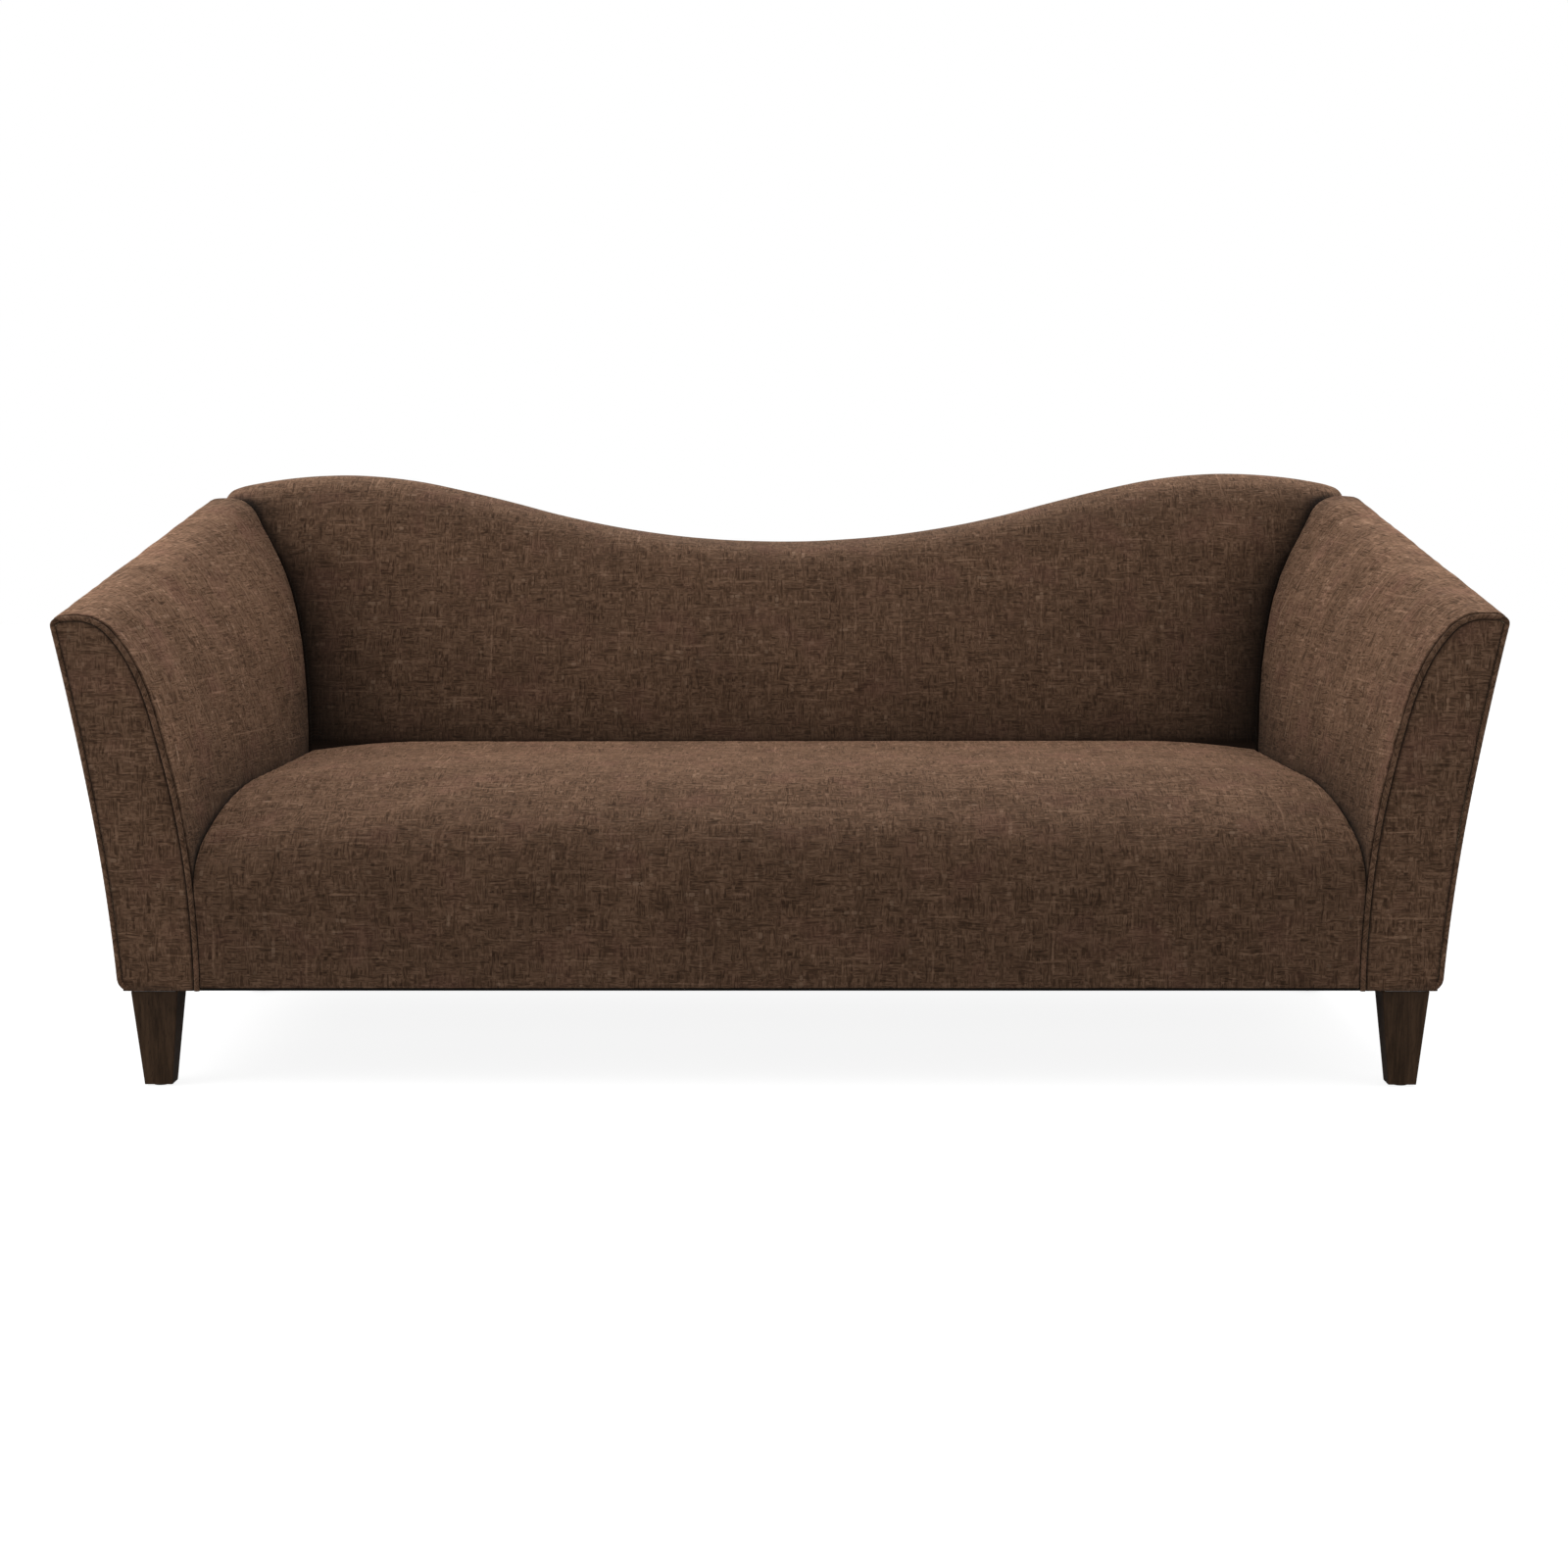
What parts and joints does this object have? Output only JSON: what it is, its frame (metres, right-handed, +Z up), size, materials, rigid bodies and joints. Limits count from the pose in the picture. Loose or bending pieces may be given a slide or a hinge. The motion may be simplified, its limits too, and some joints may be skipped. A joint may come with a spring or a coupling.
{
  "type": "sofa",
  "caption": "Tight-back upholstered sofa with a serpentine back top, flared sloping arms, a rolled seat front and square tapered wooden legs.",
  "frame": {"origin": "on the floor, in the middle of the sofa's width and depth", "axes": "+Z up, the seat faces -Y, +X to the right as seen from the front"},
  "size_m": [2.1504, 0.8901, 0.9221],
  "materials": {
    "leg_wood": "dark espresso stain under satin lacquer",
    "glide": "black nylon",
    "steel": "zinc plated",
    "welt_fabric": "brown woven upholstery, cut as welt",
    "fabric": "brown slubbed woven upholstery",
    "dust_cloth": "black spunbonded cloth",
    "foam": "upholstery foam",
    "webbing": "elastic webbing",
    "felt": "grey felt",
    "fibreboard": "plain fibreboard",
    "frame_wood": "plain plywood and hardwood"
  },
  "bodies": {
    "root": {"back_foam": "foam", "back_rail": "frame_wood", "back_tie_rail": "frame_wood", "back_top_rail": "frame_wood", "back_webbing": "webbing", "deck_felt": "felt", "dust_cover": "dust_cloth", "front_rail": "frame_wood", "inside_back_cover": "fabric", "left_arm_foam": "foam", "left_arm_front_board": "frame_wood", "left_arm_front_panel": "fabric", "left_arm_tie_rail": "frame_wood", "left_arm_top_rail": "frame_wood", "left_arm_welt": "welt_fabric", "left_back_post": "frame_wood", "left_back_upright": "frame_wood", "left_front_bolt": "steel", "left_front_corner_block": "frame_wood", "left_front_glide": "glide", "left_front_leg": "leg_wood", "left_front_leg_plate": "steel", "left_inside_arm_cover": "fabric", "left_outside_arm_cover": "fabric", "left_outside_arm_liner": "fibreboard", "left_rear_bolt": "steel", "left_rear_corner_block": "frame_wood", "left_rear_glide": "glide", "left_rear_leg": "leg_wood", "left_rear_leg_plate": "steel", "left_seat_stretcher": "frame_wood", "left_side_rail": "frame_wood", "outside_back_cover": "fabric", "right_arm_foam": "foam", "right_arm_front_board": "frame_wood", "right_arm_front_panel": "fabric", "right_arm_tie_rail": "frame_wood", "right_arm_top_rail": "frame_wood", "right_arm_welt": "welt_fabric", "right_back_post": "frame_wood", "right_back_upright": "frame_wood", "right_front_bolt": "steel", "right_front_corner_block": "frame_wood", "right_front_glide": "glide", "right_front_leg": "leg_wood", "right_front_leg_plate": "steel", "right_inside_arm_cover": "fabric", "right_outside_arm_cover": "fabric", "right_outside_arm_liner": "fibreboard", "right_rear_bolt": "steel", "right_rear_corner_block": "frame_wood", "right_rear_glide": "glide", "right_rear_leg": "leg_wood", "right_rear_leg_plate": "steel", "right_seat_stretcher": "frame_wood", "right_side_rail": "frame_wood", "seat_cover": "fabric", "seat_foam": "foam", "seat_webbing": "webbing"}
  },
  "joints": []
}
